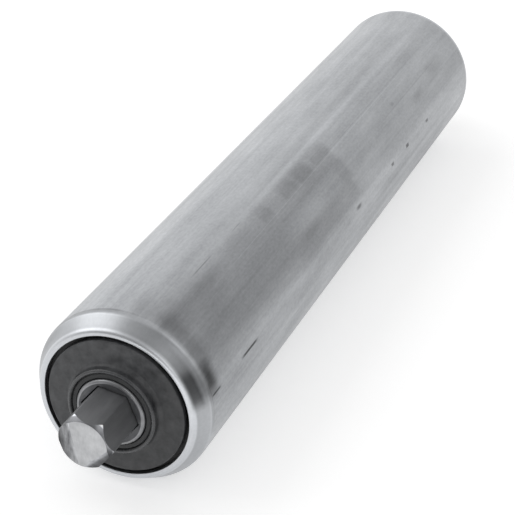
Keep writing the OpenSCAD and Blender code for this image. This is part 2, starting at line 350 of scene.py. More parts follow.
class Turning(Recipe):
    """Turns an outline about the axis, as a lathe or a rotary mould does."""

    def __init__(self) -> None:
        """Builds the tree: a grid whose rows are the outline and whose columns go round the axis."""
        super().__init__("turning", {"Steps": "Int"})
        tree, outline, steps = self.tree, self.inputs["Geometry"], self.inputs["Steps"]
        count = add(tree, "GeometryNodeAttributeDomainSize", outline)
        columns = add(tree, MATH, steps, 1, operation="ADD")
        sheet = add(tree, "GeometryNodeMeshGrid", {"Vertices X": count, "Vertices Y": columns})
        index = add(tree, "GeometryNodeInputIndex")
        # half a step more, so that rounding never drops the first point of a row into the row before
        middle = add(tree, MATH, index, 0.5, operation="ADD")
        row = add(tree, MATH, add(tree, MATH, middle, columns, operation="DIVIDE"), operation="FLOOR")
        column = add(tree, MATH, index, columns, operation="MODULO")
        share = add(tree, MATH, column, steps, operation="DIVIDE")
        angle = add(tree, MATH, share, math.tau, operation="MULTIPLY")
        point = add(tree, "GeometryNodeSampleIndex", outline, add(tree, "GeometryNodeInputPosition"), row,
                    data_type="FLOAT_VECTOR", domain="POINT")
        parts = add(tree, SPLIT, point).outputs
        turned = self.on_axis(parts["X"], parts["Y"], angle)
        bent = add(tree, "GeometryNodeSetPosition", {"Geometry": sheet, "Position": turned})
        self.end(add(tree, "GeometryNodeMergeByDistance", {"Geometry": bent, "Distance": WELD}))

    def turn(self, name: str, outline: Sequence[Point], end: End | None, material: Material,
             steps: int = 240) -> Mesh:
        """Turns one closed outline.

        Args:
            name: The mesh's name.
            outline: Its points as (depth, radius), or as (X, radius) where no end is given.
            end: The end of the roller that depths count from.
            material: The finish.
            steps: How many steps go round.

        Returns:
            The closed mesh.
        """
        points = [((end.x(a) if end else a) * MM, r * MM, 0.0) for a, r in [*outline, outline[0]]]
        base = bpy.data.meshes.new(name)
        base.from_pydata(points, [(i, i + 1) for i in range(len(points) - 1)], [])
        mesh = self.make(name, {"Steps": steps, "Material": material}, base)
        close_up(mesh)
        return mesh


class BallRing(Recipe):
    """Sets balls round the axis, one in each pocket of the cage."""

    def __init__(self) -> None:
        """Builds the tree: points round a circle, and a ball on each."""
        super().__init__("ball ring", {"Count": "Int", "Ball": "Float", "Pitch": "Float", "Place": "Float"})
        tree, get = self.tree, self.inputs
        share = add(tree, MATH, add(tree, "GeometryNodeInputIndex"), get["Count"], operation="DIVIDE")
        angle = add(tree, MATH, share, math.tau, operation="MULTIPLY")
        spots = add(tree, "GeometryNodePoints", get["Count"], self.on_axis(get["Place"], get["Pitch"], angle))
        ball = add(tree, "GeometryNodeMeshUVSphere", 40, 20, get["Ball"])
        smooth = add(tree, "GeometryNodeSetShadeSmooth", ball)
        self.end(add(tree, "GeometryNodeInstanceOnPoints", {"Points": spots, "Instance": smooth}))


class Coil(Recipe):
    """Winds round wire into a spring with closed and ground ends."""

    def __init__(self) -> None:
        """Builds the tree: a line bent into a helix, swept with the wire and clipped flat at both ends."""
        super().__init__("coil", {key: "Float" for key in
                                  ("Start", "Length", "Mean", "Wire", "Turns", "Closed pitch")})
        tree, get, per_turn = self.tree, self.inputs, 48
        whole = add(tree, MATH, get["Turns"], 2, operation="ADD")
        count = add(tree, MATH, whole, per_turn, 1, operation="MULTIPLY_ADD")
        line = add(tree, "GeometryNodeMeshLine", {"Count": count, "Offset": (MM, 0, 0)})
        wire = add(tree, "GeometryNodeMeshToCurve", line)
        at = add(tree, MATH, add(tree, "GeometryNodeInputIndex"), per_turn, operation="DIVIDE")
        # how far along each point lies: a closed turn, the open turns, and a closed turn again
        closed, turns = get["Closed pitch"], get["Turns"]
        free = add(tree, MATH, closed, -2, get["Length"], operation="MULTIPLY_ADD")
        pitch = add(tree, MATH, free, turns, operation="DIVIDE")
        rise: Source | float = 0.0
        for start, most, gain in ((0, 1, closed), (1, turns, pitch),
                                  (add(tree, MATH, turns, 1, operation="ADD"), 1, closed)):
            part = add(tree, "ShaderNodeClamp", add(tree, MATH, at, start, operation="SUBTRACT"), 0, most)
            rise = add(tree, MATH, part, gain, rise, operation="MULTIPLY_ADD")
        angle = add(tree, MATH, at, math.tau, operation="MULTIPLY")
        helix = self.on_axis(add(tree, MATH, get["Start"], rise, operation="ADD"), get["Mean"], angle)
        bent = add(tree, "GeometryNodeSetPosition", {"Geometry": wire, "Position": helix})
        ring = add(tree, "GeometryNodeCurvePrimitiveCircle", {"Resolution": 16, "Radius": get["Wire"]})
        swept = add(tree, "GeometryNodeCurveToMesh", {"Curve": bent, "Profile Curve": ring, "Fill Caps": True})
        place = add(tree, SPLIT, add(tree, "GeometryNodeInputPosition")).outputs
        stop = add(tree, MATH, get["Start"], get["Length"], operation="ADD")
        ground = add(tree, JOIN, add(tree, "ShaderNodeClamp", place["X"], get["Start"], stop), place["Y"], place["Z"])
        cut = add(tree, "GeometryNodeSetPosition", {"Geometry": swept, "Position": ground})
        self.end(add(tree, "GeometryNodeSetShadeSmooth", cut))


# ---- finishes ----


BRIGHTEST = 4.0  # the most that a tone can multiply a colour by


class Measure(Enum):
    """What a change of tone follows."""

    RADIUS = "radius"
    DEPTH = "depth"
    DIRECTION = "direction"


class Ground:
    """The nodes of a material, over places on the roller in millimetres."""

    def __init__(self, tree: NodeTree) -> None:
        """Finds the place and its X, Y and Z.

        Args:
            tree: The material's nodes.
        """
        self.tree = tree
        spot = add(tree, "ShaderNodeTexCoord").outputs["Object"]
        self.place = add(tree, VECTOR, {0: spot, "Scale": 1 / MM}, operation="SCALE")
        self.parts = add(tree, SPLIT, self.place).outputs

    def along(self) -> Node:
        """Returns the distance from the roller's middle along the axis."""
        return add(self.tree, MATH, self.parts["X"], operation="ABSOLUTE")

    def radius(self) -> NodeSocket:
        """Returns the distance from the axis."""
        off = add(self.tree, JOIN, 0.0, self.parts["Y"], self.parts["Z"])
        return add(self.tree, VECTOR, off, operation="LENGTH").outputs["Value"]

    def uneven(self, size: Triple | float, detail: float) -> Node:
        """Adds one layer of uneven pattern.

        Args:
            size: The size of a feature in millimetres, or its sizes along X, Y and Z.
            detail: How much finer detail it has.

        Returns:
            The node, whose value is about 0.5 on average.
        """
        sizes = size if isinstance(size, tuple) else (size, size, size)
        scaled = add(self.tree, VECTOR, self.place, tuple(1 / s for s in sizes), operation="MULTIPLY")
        return add(self.tree, NOISE, {"Vector": scaled, "Scale": 1.0, "Detail": detail, "Roughness": 0.55})

    def rounds(self, fine: float) -> Node:
        """Returns lines round the axis, as a lathe or a rolling tool leaves them, about so many to a millimetre."""
        where = add(self.tree, JOIN, self.parts["X"], self.radius())
        return add(self.tree, NOISE, {"Vector": where, "Scale": fine, "Detail": 2.0, "Roughness": 0.6})


@dataclass(frozen=True)
class Tones:
    """How a surface lightens and darkens along one measure.

    Attributes:
        by: The measure, in millimetres.
        stops: Places along it, each with what the colour is multiplied by there.
        turn: The angle of the direction from +Y towards +Z, in degrees.
    """

    by: Measure
    stops: tuple[Point, ...]
    turn: float = 0.0

    def factor(self, on: Ground) -> Node:
        """Finds what the colour is multiplied by.

        Args:
            on: The material's ground.

        Returns:
            The node that gives the factor.
        """
        if self.by is Measure.RADIUS:
            value = on.radius()
        elif self.by is Measure.DEPTH:
            value = add(on.tree, MATH, TUBE_HALF, on.along(), operation="SUBTRACT")
        else:
            value = add(on.tree, VECTOR, on.place, across(self.turn), operation="DOT_PRODUCT").outputs["Value"]
        first, last = self.stops[0][0], self.stops[-1][0]
        stops = [((at - first) / (last - first), level / BRIGHTEST) for at, level in self.stops]
        level = ramped(on.tree, add(on.tree, RANGE, value, first, last), stops)
        return add(on.tree, MATH, level, BRIGHTEST, operation="MULTIPLY")


@dataclass
class Look:
    """What the patterns of a finish give its shader.

    Attributes:
        share: How much of the lighter shade the colour has.
        rough: How far the roughness is along its range.
        height: How high the surface stands, from 0 to 1.
        kept: What the colour is multiplied by.
    """

    share: Source
    rough: Source
    height: Source
    kept: Source | float = 1.0


@dataclass(frozen=True)
class Finish:
    """A material: what it is and how it was made, with the values that give its look.

    Attributes:
        name: Its name.
        colour: Its darker shade.
        other: Its lighter shade.
        metallic: How much of it is bare metal.
        roughness: Its roughness on average.
        rougher: How much the roughness grows over the range of its pattern.
        depth: How much higher its highest points stand than its lowest, in millimetres.
        tones: How it lightens and darkens from place to place.
    """

    name: str
    colour: str
    other: str
    metallic: float
    roughness: float
    rougher: float = 0.12
    depth: float = 0.01
    tones: tuple[Tones, ...] = ()

    def material(self) -> Material:
        """Finds the material, or makes it on its first use.

        Returns:
            The material.
        """
        made = bpy.data.materials.get(self.name)
        if made:
            return made
        made = bpy.data.materials.new(self.name)
        made.use_nodes = True
        tree, shader = made.node_tree, made.node_tree.nodes["Principled BSDF"]
        # what a viewer shows that can't follow the patterns
        made.diffuse_color = linear(self.colour)
        fill(shader, {"Base Color": linear(self.colour), "Metallic": self.metallic, "Roughness": self.roughness})
        on = Ground(tree)
        look = self.look(on)
        shades = {0: look.share, 6: linear(self.colour), 7: linear(self.other)}
        colour = add(tree, MIX, shades, data_type="RGBA").outputs[2]
        for factor in (look.kept, *(tones.factor(on) for tones in self.tones)):
            colour = add(tree, VECTOR, {0: colour, "Scale": factor}, operation="SCALE")
        half = self.rougher / 2
        rough = add(tree, RANGE, look.rough, 0.0, 1.0, self.roughness - half, self.roughness + half)
        bump = add(tree, "ShaderNodeBump", {"Strength": 1.0, "Distance": self.depth * MM, "Height": look.height})
        fill(shader, {"Base Color": colour, "Roughness": rough, "Normal": bump})
        return made

    def look(self, on: Ground) -> Look:
        """Returns what the patterns of a kind of finish give its shader."""
        raise NotImplementedError


@dataclass(frozen=True)
class Grained(Finish):
    """A surface with an even grain: moulded, cast, plated, pressed or drawn, by the grain's size."""

    grain: Triple | float = 0.5
    cloud: Triple | float = 4.0
    grain_share: float = 0.4
    usual_grain: Point = (0.25, 0.75)
    usual_mix: Point = (0.45, 0.95)

    def look(self, on: Ground) -> Look:
        """Varies the colour by clouds, and the roughness and height by the grain.

        Args:
            on: The material's ground.

        Returns:
            What the patterns give the shader.
        """
        grain, cloud = on.uneven(self.grain, 2.0), on.uneven(self.cloud, 3.0)
        mix = add(on.tree, MATH, grain, self.grain_share, cloud, operation="MULTIPLY_ADD")
        return Look(add(on.tree, RANGE, mix, *self.usual_mix), add(on.tree, RANGE, grain, *self.usual_grain), grain)


@dataclass(frozen=True)
class Turned(Finish):
    """Lathe-turned or ground steel: fine lines round the axis, some brighter and smoother than others."""

    rougher: float = -0.12
    depth: float = 0.004
    line: float = 0.25
    cloud: float = 0.3
    usual: Point = (0.7, 1.3)

    def look(self, on: Ground) -> Look:
        """Draws the lines by depth and radius, with slow clouds over them.

        Args:
            on: The material's ground.

        Returns:
            What the patterns give the shader.
        """
        lines = on.rounds(1 / self.line)
        cloud = add(on.tree, NOISE, {"Vector": on.place, "Scale": self.cloud, "Detail": 3.0})
        share = add(on.tree, RANGE, add(on.tree, MATH, lines, cloud, operation="ADD"), *self.usual)
        return Look(share, share, lines)


@dataclass(frozen=True)
class Mark:
    """A scratch, speck or stain on the tube, or a patch of painted light or shade.

    Attributes:
        at: Its middle, as X and degrees about the axis from +Y towards +Z.
        size: Its length along the tube and its width round it.
        strength: How much it darkens the metal; below zero it brightens it.
        soft: How much of it fades out, from 0 at a hard edge to 1.
        ragged: How far its outline wanders, as a share of its size.
        ends: How much of that softness its two ends along the tube have.
    """

    at: Point
    size: Point
    strength: float = 1.0
    soft: float = 0.5
    ragged: float = 0.7
    ends: float = 1.0


@dataclass(frozen=True)
class Galvanised(Finish):
    """Hot-dip galvanised tube, drawn: soft streaks along it, mottled zinc, and scratches from use.

    Where the ends are rolled in, the tool has burnished the zinc: brighter, smoother, with lines round the axis.
    """

    rougher: float = -0.2
    depth: float = 0.012
    # the size, the detail and the share of the streaks, the mottles, the fine lines and the flecks
    layers: tuple[tuple[Triple, float, float], ...] = (
        ((260.0, 5.0, 5.0), 2.0, 0.3), ((34.0, 9.0, 9.0), 4.0, 0.32),
        ((70.0, 0.55, 0.55), 2.0, 0.14), ((1.7, 0.9, 0.9), 2.0, 0.24))
    usual: Point = (0.36, 0.64)
    radius: float = 31.75
    rolled_from: float = TUBE_HALF - 7.6
    blend: float = 0.6
    fine: float = 0.9
    burnish: float = 0.6
    marks: tuple[Mark, ...] = ()

    def look(self, on: Ground) -> Look:
        """Layers the streaks, mottles and marks, and burnishes the rolled ends.

        Args:
            on: The material's ground.

        Returns:
            What the patterns give the shader.
        """
        tree = on.tree
        total: Source | float = 0.0
        looks = []
        for size, detail, share in self.layers:
            looks.append(on.uneven(size, detail))
            total = add(tree, MATH, looks[-1], share, total, operation="MULTIPLY_ADD")
        _, mottle, lines, fleck = looks
        body = add(tree, RANGE, total, *self.usual)
        rounds = on.rounds(self.fine)
        burnished = add(tree, MIX, {0: self.burnish, 2: rounds, 3: fleck})
        smooth = add(tree, MATH, rounds, 0.5, 0.5, operation="MULTIPLY_ADD")
        rolled = add(tree, RANGE, on.along(), self.rolled_from - self.blend, self.rolled_from + self.blend,
                     interpolation_type="SMOOTHSTEP")
        # the share, the roughness and the height, each along the tube and then on its rolled ends
        pairs = ((body, burnished), (body, smooth), (lines, rounds))
        mixed = (add(tree, MIX, {0: rolled, 2: straight, 3: bent}) for straight, bent in pairs)
        return Look(*mixed, add(tree, MATH, 1.0, self.wear_and_painted_light(on, mottle), operation="SUBTRACT"))

    def wear_and_painted_light(self, on: Ground, ragged: Source) -> Source | float:
        """Finds how much the marks darken the metal, and where painted highlights brighten it.

        Args:
            on: The material's ground.
            ragged: A pattern that makes the marks' outlines ragged.

        Returns:
            The share of the light that they take, below zero where they add some.
        """
        tree = on.tree
        # Y and Z change sign and half a round is added, so that the angle runs from 0 at +Y to a full round
        up, side = (add(tree, MATH, on.parts[key], -1.0, operation="MULTIPLY") for key in ("Z", "Y"))
        angle = add(tree, MATH, up, side, operation="ARCTAN2")
        span = add(tree, MATH, angle, self.radius, math.pi * self.radius, operation="MULTIPLY_ADD")
        shift = add(tree, MATH, ragged, 0.5, operation="SUBTRACT")
        flat = add(tree, JOIN, on.parts["X"], span)
        total: Source | float = 0.0
        for mark in self.marks:
            centre = (mark.at[0], math.radians(mark.at[1]) * self.radius, 0.0)
            off = add(tree, VECTOR, flat, centre, operation="SUBTRACT")
            near = add(tree, VECTOR, off, (2 / mark.size[0], 2 / mark.size[1], 0.0), operation="MULTIPLY")
            away = add(tree, VECTOR, near, operation="ABSOLUTE")
            bent = add(tree, VECTOR, shift, (mark.ragged, mark.ragged, 0.0), away, operation="MULTIPLY_ADD")
            inner = (1 - mark.soft * mark.ends, 1 - mark.soft, 0.0)
            depth = add(tree, RANGE, {6: bent, 7: (1.0, 1.0, 1.0), 8: inner},
                        data_type="FLOAT_VECTOR", interpolation_type="SMOOTHSTEP").outputs["Vector"]
            both = add(tree, SPLIT, depth).outputs
            deep = add(tree, MATH, both["X"], both["Y"], operation="MULTIPLY")
            total = add(tree, MATH, deep, mark.strength, total, operation="MULTIPLY_ADD")
        return total


# Moulded cap of glass-filled nylon: matt dark grey with a mottled skin, drawn coarser than its real grain to show;
# its tone by direction is painted shade, darker towards one side of the disc.
CAP_NYLON = Grained("moulded nylon cap", "#2B2C2E", "#545557", 0.0, 0.45, depth=0.03, grain=1.1, tones=(
    Tones(Measure.DIRECTION, ((-24, 0.72), (-6, 0.76), (14, 1), (24, 1)), 50),))
# The cap's collar, rubbed smooth by side frames: the same nylon, smoother, with a painted highlight along its crest
# and painted shade on its inner side.
CAP_RUBBED_AND_HIGHLIT = Grained("rubbed nylon collar", "#404143", "#505153", 0.0, 0.26, 0.1, 0.02, grain=0.8, tones=(
    Tones(Measure.RADIUS, ((14.4, 0.5), (14.9, 0.8), (15.15, 1.8), (15.4, 1), (15.9, 0.9))),))
# Moulded bearing housing of acetal: near black, a little smoother.
HOUSING_ACETAL = Grained("moulded acetal housing", "#19191A", "#202021", 0.0, 0.5, 0.1, 0.02, cloud=12.0)
# Nitrile rubber seal: black and dull, with a dusty bloom.
SEAL_NITRILE = Grained("moulded nitrile seal", "#3A3B3C", "#48494A", 0.0, 0.7, 0.14, 0.02, grain=0.6, cloud=5.0)
# Natural nylon cage: waxy cream.
CAGE_NYLON = Grained("moulded natural nylon cage", "#C7BB93", "#D8CDA8", 0.0, 0.42, 0.1, cloud=8.0)
# Cold-drawn hexagon bar: dull oxidised grey, with faint draw lines along it; one flat is darkened by painted shade.
AXLE_DRAWN = Grained("cold-drawn steel hexagon", "#68696B", "#7A7B7D", 0.6, 0.6, depth=0.008, grain=(12.0, 0.6, 0.6),
                     cloud=(14.0, 4.0, 4.0), tones=(
    Tones(Measure.DIRECTION, ((0, 1), (5.5, 1), (8.2, 0.8), (9, 0.8)), 159.2),))
# The bar's cropped and linished end: bright, with short grinding marks.
AXLE_GROUND = Grained("ground steel axle end", "#A4A5A7", "#C2C3C5", 1.0, 0.38, 0.14, grain=(1.0, 0.4, 2.5))
# The band where the end was dressed by hand: duller and streaked, with painted light and shade across it, bright
# where it meets the face and dark at its rim.
AXLE_DRESSED = Grained("hand-dressed steel axle end", "#5A5B5D", "#A0A1A3", 1.0, 0.42, 0.2, 0.02,
                       grain=(1.0, 0.5, 3.0), cloud=(2.0, 1.5, 5.0), tones=(
    Tones(Measure.DIRECTION, ((3.3, 2.3), (3.9, 1.5), (4.6, 1), (5.8, 1.2), (7, 0.8), (8.2, 0.5), (8.9, 0.25)),
          -10.2),))
# The end's chamfer: darker at its foot, with painted highlights at each corner and on one side, and painted shade
# underneath.
AXLE_CHAMFER = Grained("cut steel chamfer", "#76777A", "#88898C", 1.0, 0.4, grain=0.6, cloud=3.0, tones=(
    Tones(Measure.RADIUS, ((8.5, 0.8), (9.5, 1.1), (9.75, 3.2), (10.1, 3.6))),
    Tones(Measure.DIRECTION, ((0, 1), (7.6, 1), (8.5, 1.9), (10, 1.9)), 150),
    Tones(Measure.DIRECTION, ((-10, 0.2), (-2, 0.25), (1, 1), (10, 1)), 90)))
# The smaller dressed corner: dark, growing lighter towards its inner edge.
AXLE_NICKED = Grained("dark dressed steel corner", "#4C4D4F", "#6A6B6D", 0.8, 0.5, 0.16, 0.02, grain=0.8, cloud=2.5, tones=(
    Tones(Measure.DIRECTION, ((6, 4), (6.6, 3.4), (7.3, 1.4), (8.2, 1)), -132.4),))
# Turned steel sleeve: lathe lines round the axis.
SLEEVE_TURNED = Turned("turned steel sleeve", "#56575A", "#6F7072", 0.7, 0.55)
# The sleeve's rounded nose, burnished by handling: smoother, and lighter than the sleeve as a painted highlight, a
# bright ring.
SLEEVE_EDGE = Turned("burnished steel sleeve nose", "#7F8082", "#98999B", 1.0, 0.38)
# Ground and polished bearing steel: almost a mirror.
BEARING_GROUND = Turned("ground bearing steel", "#C9CACC", "#DADBDC", 1.0, 0.16, -0.06, 0.001, line=0.15)
# Pressed steel sheet of the shields: satin.
SHIELD_PRESSED = Grained("pressed steel sheet", "#A3A4A6", "#B8B9BB", 1.0, 0.36, 0.1, 0.006, cloud=10.0)
# Zinc-plated washers and cup: pale and slightly cloudy.
ZINC_PLATED = Grained("zinc-plated steel", "#B5B7BA", "#C6C8CB", 1.0, 0.33, depth=0.006, grain=0.7, cloud=7.0)
# Rolled spring pins: dark phosphated steel.
PIN_PHOSPHATED = Grained("phosphated rolled spring steel", "#55565A", "#67686B", 0.8, 0.5, 0.14, 0.008)
# Drawn spring wire: oiled grey, with faint die lines.
SPRING_WIRE = Grained("drawn spring wire", "#7A7D82", "#93969A", 1.0, 0.36, depth=0.005, grain=(0.8, 0.3, 0.3),
                      cloud=6.0)
# Hot-dip galvanised tube: grey zinc in soft streaks, with the marks of its use and patches of painted light and
# shade.
TUBE_ZINC = Galvanised("galvanised drawn steel tube", "#9C9EA1", "#B1B3B6", 1.0, 0.42, marks=(
    # the near half, darker along one side with a plain edge where the darkening stops, and a painted highlight strip
    # along it
    Mark((-75, 136), (154, 36), 0.16, 0.6, 0.2, 0.1),
    Mark((-75, 135), (156, 56), 0.08, 0.7, 0.3, 0.5),
    Mark((-5, 142), (11, 26), 0.05, 0.8, 0.4),
    Mark((-128, 118), (50, 34), 0.1, 0.8),
    Mark((-47, 148), (26, 6), 0.12, 0.9),
    Mark((-32, 139), (84, 13), -0.24, 0.9),
    # stains along one line, left by what stood on the roller
    Mark((-117, 117), (38, 6), 0.05, 0.5, 0.3),
    Mark((-62, 116), (11, 10), 0.1, 0.8, 0.4, 0.6),
    Mark((-40, 116), (16, 11), 0.12, 0.8, 0.4, 0.6),
    Mark((-25, 117), (16, 12), 0.12, 0.8, 0.4, 0.6),
    Mark((-6.5, 116), (19, 11), 0.09, 0.8, 0.3, 0.3),
    # faint stains on the far half
    Mark((86, 146), (20, 6), 0.18, 0.9),
    Mark((114, 140), (34, 12), 0.18, 0.9),
    Mark((62, 134), (5, 2), 0.15, 0.8),
    Mark((85, 117), (140, 7), 0.09, 0.9, 0.3),
    Mark((50, 98), (210, 6), 0.08, 0.9, 0.3),
    # a strip polished by the load, and fine lines along the tube, bright and dark
    Mark((15, 107), (280, 4), -0.1, 0.8, 0.2),
    Mark((5, 122.5), (280, 0.5), -0.12, 0.6, 0.1),
    Mark((45, 121), (200, 0.5), 0.07, 0.6, 0.1),
    Mark((-96, 137), (48, 1.5), 0.06, 0.8, 0.2),
    Mark((85, 137), (126, 0.9), 0.12, 0.8, 0.2),
    # scratches and pits, most of them in one line
    Mark((-108, 108.5), (20, 0.7), 0.3, 0.8),
    Mark((-78, 108), (11, 0.6), 0.2, 0.8),
    Mark((-144, 167.5), (8, 0.8), 0.5),
    Mark((-116, 167.5), (16, 1.2), 0.8, 0.5, 0.4),
    Mark((-4, 167), (9, 3), 0.65, 0.8),
    Mark((38, 167.5), (4, 1.8), 0.65),
    Mark((58, 167.5), (4, 1.8), 0.7),
    Mark((86, 167.5), (4, 1.6), 0.6),
    # dark patches on and beside the rolled end
    Mark((-142, 106), (30, 34), 0.2, 0.9, 0.3),
    Mark((-145, 128), (18, 44), 0.24, 0.9, 0.2),
    Mark((-146, 157.5), (14, 18), 0.72, 0.9, 0.3),
    Mark((-153, 155.5), (5.5, 19), 0.62, 0.6, 0.4),
    # painted highlights on the rolled end's lip and bend on one side, and painted shade along the bend in two places
    # and on one side of the cone
    Mark((-155.4, 140), (2.4, 56), -0.24, 0.8, 0.2),
    Mark((-149.8, 140), (4.5, 24), -0.38, 0.9, 0.2),
    Mark((-148.3, 178), (2.4, 26), 0.25, 0.8, 0.3, 0.6),
    Mark((-148.2, 62), (3.4, 62), 0.42, 0.8, 0.3, 0.6),
    Mark((-151, 30), (7, 30), 0.25, 0.9, 0.4),
), tones=(
    # the rolled ends a little brighter where burnished, with painted highlights along the lip and the outer bend
    Tones(Measure.DEPTH, ((0, 1.5), (0.9, 1.5), (1.5, 1.05), (5.4, 1.15), (6.4, 1.35), (7.4, 1.25), (8.6, 1))),))

CARRIED = {
    "housing": HOUSING_ACETAL,
    "outer_ring": BEARING_GROUND,
    "inner_ring": BEARING_GROUND,
    "cage": CAGE_NYLON,
    "outboard_shield": SHIELD_PRESSED,
    "inboard_shield": SHIELD_PRESSED,
    "stop_washer": ZINC_PLATED,
    "spring_washer": ZINC_PLATED,
    "spring_seat": ZINC_PLATED,
    "stop_pin": PIN_PHOSPHATED,
    "spring_pin": PIN_PHOSPHATED,
}


# ---- sub-assemblies ----


@dataclass(frozen=True)
class Hexagon:
    """A hexagon about the axis with rounded corners.

    Attributes:
        flats: Its width across flats.
        corner: The radius of its corners.
        turn: The angle of a corner from +Y, in degrees.
    """

    flats: float
    corner: float
    turn: float = 9.2

    def radius(self, angle: float) -> float:
        """Measures from the axis to the outline.

        Args:
            angle: The direction in degrees, from a corner.

        Returns:
            The distance.
        """
        off = math.radians(abs((angle + 30) % 60 - 30))
        inner = self.flats / 2 - self.corner
        centre = inner / math.cos(math.radians(30))
        reach = inner * math.tan(math.radians(30))
        if off > math.radians(30) - math.atan2(reach, self.flats / 2):
            return self.flats / 2 / math.cos(math.radians(30) - off)
        return centre * math.cos(off) + math.sqrt(max(self.corner ** 2 - (centre * math.sin(off)) ** 2, 0.0))


# directions round a hexagon in degrees from its first corner, closer together near each corner
NEAR_CORNER = (*range(-4, 4), *(4 + 52 * step / 14 for step in range(14)))
DIRECTIONS = [60 * side + off for side in range(6) for off in NEAR_CORNER]


def ringed(name: str, rings: Sequence[Sequence[Point]], turn: float, loop: bool) -> Mesh:
    """Skins rings of points that stand round the axis.

    Args:
        name: The mesh's name.
        rings: For each ring and each of the directions, the X and the radius.
        turn: The angle of the first corner from +Y, in degrees.
        loop: Whether the last ring meets the first; otherwise both are closed with a face.

    Returns:
        The mesh.
    """
    angles = [math.radians(turn + a) for a in DIRECTIONS]
    mesh = bpy.data.meshes.new(name)
    with edited(mesh) as work:
        rows = [[work.verts.new((x * MM, r * MM * math.cos(a), r * MM * math.sin(a)))
                 for (x, r), a in zip(ring, angles)] for ring in rings]
        for here, there in zip(rows, rows[1:] + rows[:1] if loop else rows[1:]):
            for i, a in enumerate(here):
                work.faces.new((a, here[(i + 1) % len(here)], there[(i + 1) % len(here)], there[i]))
        for row in () if loop else (rows[0], rows[-1]):
            work.faces.new(row)
    return mesh


@dataclass
class Tube:
    """The galvanised tube with its rolled-in ends."""

    lathe: Turning
    outer: float = 31.75
    bore: float = 28.7
    seat: float = 29.2
    seat_depth: float = 27.05
    cone: float = 6.2
    slope: float = 32.0
    bend: float = 4.0
    nose: float = 1.6
    lip: float = 26.176
    lip_edge: float = 0.35

    def half_outline(self) -> list[Point]:
        """Draws one end, from the inside seat round the lip to the outside.

        Returns:
            Its outline as (depth, radius).
        """
        tilt = math.radians(self.slope)
        foot = self.outer - self.cone * math.tan(tilt)
        wall = self.outer - self.seat
        inner_r, inner_x = self.outer - wall * math.cos(tilt), self.cone + wall * math.sin(tilt)
        at_lip = inner_x - (inner_r - self.lip) / math.tan(tilt)
        at_seat = inner_x - (inner_r - self.seat) / math.tan(tilt)
        nose_r = foot - self.nose * math.tan(math.radians((90 - self.slope) / 2))
        bend_x = self.cone + self.bend * math.tan(tilt / 2)
        return [
            (self.seat_depth, self.bore), (self.seat_depth, self.seat), (at_seat, self.seat), (at_lip, self.lip),
            *arc((self.lip_edge, self.lip + self.lip_edge), self.lip_edge, 270, 180, 4),
            *arc((self.nose, nose_r), self.nose, 180, 90 + self.slope, 8),
            *arc((bend_x, self.outer - self.bend), self.bend, 90 + self.slope, 90, 12),
        ]

    def build(self) -> None:
        """Turns the tube and dresses it."""
        near = [(End.LEFT.x(d), r) for d, r in self.half_outline()]
        far = [(-x, r) for x, r in reversed(near)]
        start, stop, spans = near[-1][0], far[0][0], 12
        between = [(start + (stop - start) * i / spans, self.outer) for i in range(1, spans)]
        mesh = self.lathe.turn("tube_skin", [*near, *between, *far], None, TUBE_ZINC.material(), steps=360)
        placed("tube_skin", mesh, "roller", "tube")


@dataclass
class Closure:
    """What closes one end: the moulded cap with its collar, and the seal."""

    lathe: Turning
    end: End
    rim: float = 24.726
    face: float = -0.2
    rim_round: float = 0.5
    back: float = 2.4
    step: float = 0.6
    collar_in: float = 14.4
    collar_out: float = 15.9
    crest: float = -3.7
    foot: float = 1.8
    shoulder: float = 22.126
    spigot: float = 6.85
    wall: float = 1.6
    hub: float = 5.0
    ledge: float = 1.0
    crest_reach: float = 0.3
    seal_in: float = 12.7
    seal_face: float = -3.2
    seal_lip: float = 0.45
    seal_ease: float = 0.12
    play: float = 0.05

    def cap(self) -> None:
        """Turns the cap: its flat disc, the rounded collar and the spigot."""
        half = (self.collar_out - self.collar_in) / 2
        front = self.back + self.step
        outline = [
            (self.back, self.collar_in - self.ledge), (self.back, self.collar_in),
            *arc((self.crest + half, self.collar_in + half), half, 270, 90, 16),
            *arc((self.face - self.foot, self.collar_out + self.foot), self.foot, 270, 360, 10),
            *arc((self.face + self.rim_round, self.rim - self.rim_round), self.rim_round, 180, 90, 6),
            (self.back - self.step, self.rim), (front, self.rim - self.step), (front, self.shoulder),
            (self.spigot - self.step, self.shoulder), (self.spigot, self.shoulder - self.step),
            (self.spigot, self.shoulder - self.wall), (self.back, self.shoulder - self.wall),
            (self.back, self.collar_out + self.step), (self.hub, self.collar_out + self.step),
            (self.hub, self.collar_in - self.ledge),
        ]
        name = self.end.node("cap_moulding")
        mesh = self.lathe.turn(name, outline, self.end, CAP_NYLON.material(), steps=288)
        mesh.materials.append(CAP_RUBBED_AND_HIGHLIT.material())
        # the collar's crest, outboard of this, takes the smoother nylon with its painted highlight
        rubbed = abs(self.end.x(self.crest + half + self.crest_reach)) * MM
        for face in mesh.polygons:
            face.material_index = int(abs(face.center.x) > rubbed)
        placed(name, mesh, "roller", self.end.node("cap"))

    def seal(self) -> None:
        """Turns the two-lipped seal between the collar and the sleeve."""
        out, back, lip = self.collar_in - self.play, self.back - self.play, self.seal_lip
        corners = [
            (self.seal_face, self.seal_in), (self.seal_face, out - lip), (self.seal_face + lip, out), (back, out),
            (back, self.seal_in), (back - lip, self.seal_in), (back - 2 * lip, self.seal_in + lip),
            (self.seal_face + 2 * lip, self.seal_in + lip), (self.seal_face + lip, self.seal_in),
        ]
        name = self.end.node("seal_moulding")
        mesh = self.lathe.turn(name, eased(corners, self.seal_ease), self.end, SEAL_NITRILE.material())
        placed(name, mesh, "roller", self.end.node("seal"))

    def build(self) -> None:
        """Builds the cap and the seal."""
        self.cap()
        self.seal()


